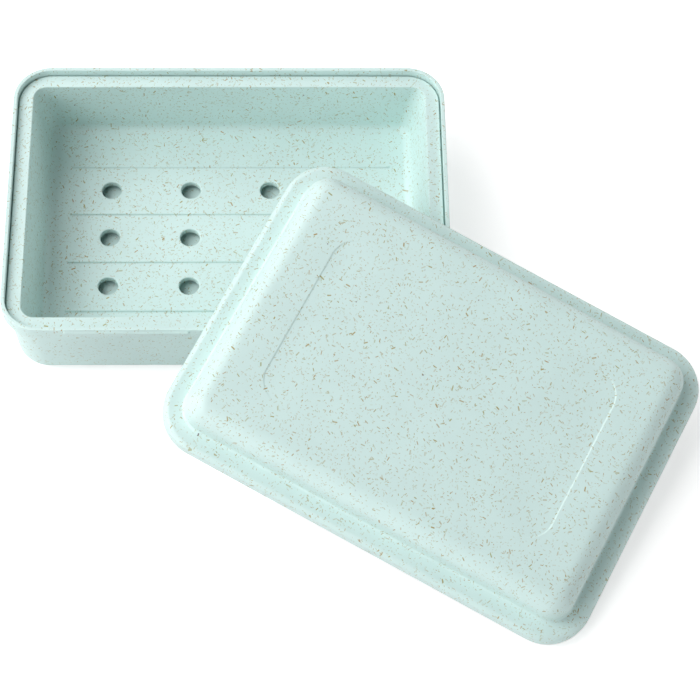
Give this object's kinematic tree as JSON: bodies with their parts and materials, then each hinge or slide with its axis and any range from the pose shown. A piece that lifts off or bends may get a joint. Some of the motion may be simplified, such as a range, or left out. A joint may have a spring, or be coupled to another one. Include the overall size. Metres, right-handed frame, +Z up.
{
  "type": "travel soap box",
  "caption": "Travel soap box of straw-flecked plastic: an outer tub, a removable drain tray with ribs and drain holes, and a loose press-on lid leaning over the tub's front corner.",
  "frame": {"origin": "middle of the tub's flat underside", "axes": "+X along the tub's long side to the right, +Y towards the back of the tub, +Z up"},
  "size_m": [0.1776, 0.1587, 0.0429],
  "materials": {
    "straw_plastic": "matte moulded plastic, pale mint, with fine tan straw flecks"
  },
  "bodies": {
    "tub": {"base_tub": "straw_plastic"},
    "tray": {"drain_tray": "straw_plastic"},
    "cover": {"lid": "straw_plastic"}
  },
  "joints": [
    {"name": "tray_lift", "type": "slide", "parent": "tub", "child": "tray", "axis": [0, 0, 1], "range_m": [0, 0.03]},
    {"name": "lid_lift", "type": "slide", "parent": "tray", "child": "cover", "axis": [0, 0, 1], "range_m": [0, 0.04]}
  ]
}
